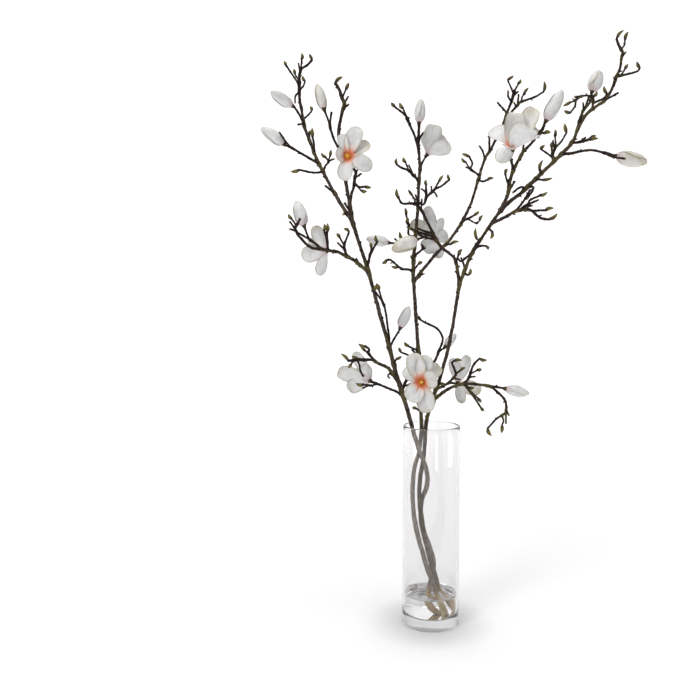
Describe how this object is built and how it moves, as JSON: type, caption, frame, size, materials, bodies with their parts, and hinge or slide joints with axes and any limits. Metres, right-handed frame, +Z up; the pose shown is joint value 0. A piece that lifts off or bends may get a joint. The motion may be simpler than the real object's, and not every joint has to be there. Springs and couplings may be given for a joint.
{
  "type": "magnolia branches in a glass vase",
  "caption": "Cut magnolia branches with white flowers, closed buds and bare twigs, standing in a tall clear cylinder vase with a little water.",
  "frame": {"origin": "centre of the vase's flat underside, on the surface it stands on", "axes": "+Z up along the vase; +X to the viewer's right and +Y away from the viewer, who looks at the arrangement's front"},
  "size_m": [0.7309, 0.3279, 1.1874],
  "materials": {
    "clear_glass": "clear polished",
    "water": "clear still",
    "bark": "matte bark",
    "petal": "soft satin"
  },
  "bodies": {
    "root": {"vase": "clear_glass", "water": "water", "branch_left": "bark", "branch_middle": "bark", "branch_right": "bark", "bud_left_inner": "petal", "bud_left_low": "petal", "bud_left_middle": "petal", "bud_left_side": "petal", "bud_left_top": "petal", "bud_low_middle": "petal", "bud_middle_front": "petal", "bud_middle_left": "petal", "bud_middle_top": "petal", "bud_right_inner": "petal", "bud_right_low": "petal", "bud_right_side": "petal", "bud_right_top": "petal", "flower_front_tepal_1": "petal", "flower_front_tepal_2": "petal", "flower_front_tepal_3": "petal", "flower_front_tepal_4": "petal", "flower_front_tepal_5": "petal", "flower_front_tepal_6": "petal", "flower_front_tepal_7": "petal", "flower_upper_left_tepal_1": "petal", "flower_upper_left_tepal_2": "petal", "flower_upper_left_tepal_3": "petal", "flower_upper_left_tepal_4": "petal", "flower_upper_left_tepal_5": "petal", "flower_upper_left_tepal_6": "petal", "flower_middle_tepal_1": "petal", "flower_middle_tepal_2": "petal", "flower_middle_tepal_3": "petal", "flower_middle_tepal_4": "petal", "flower_middle_tepal_5": "petal", "flower_middle_tepal_6": "petal", "flower_upper_right_tepal_1": "petal", "flower_upper_right_tepal_2": "petal", "flower_upper_right_tepal_3": "petal", "flower_upper_right_tepal_4": "petal", "flower_upper_right_tepal_5": "petal", "flower_upper_right_tepal_6": "petal", "flower_top_tepal_1": "petal", "flower_top_tepal_2": "petal", "flower_top_tepal_3": "petal", "flower_top_tepal_4": "petal", "flower_top_tepal_5": "petal", "flower_hind_left_tepal_1": "petal", "flower_hind_left_tepal_2": "petal", "flower_hind_left_tepal_3": "petal", "flower_hind_left_tepal_4": "petal", "flower_right_mouth_tepal_1": "petal", "flower_right_mouth_tepal_2": "petal", "flower_right_mouth_tepal_3": "petal", "flower_right_mouth_tepal_4": "petal", "flower_left_mouth_tepal_1": "petal", "flower_left_mouth_tepal_2": "petal", "flower_left_mouth_tepal_3": "petal", "flower_left_mouth_tepal_4": "petal"}
  },
  "joints": []
}
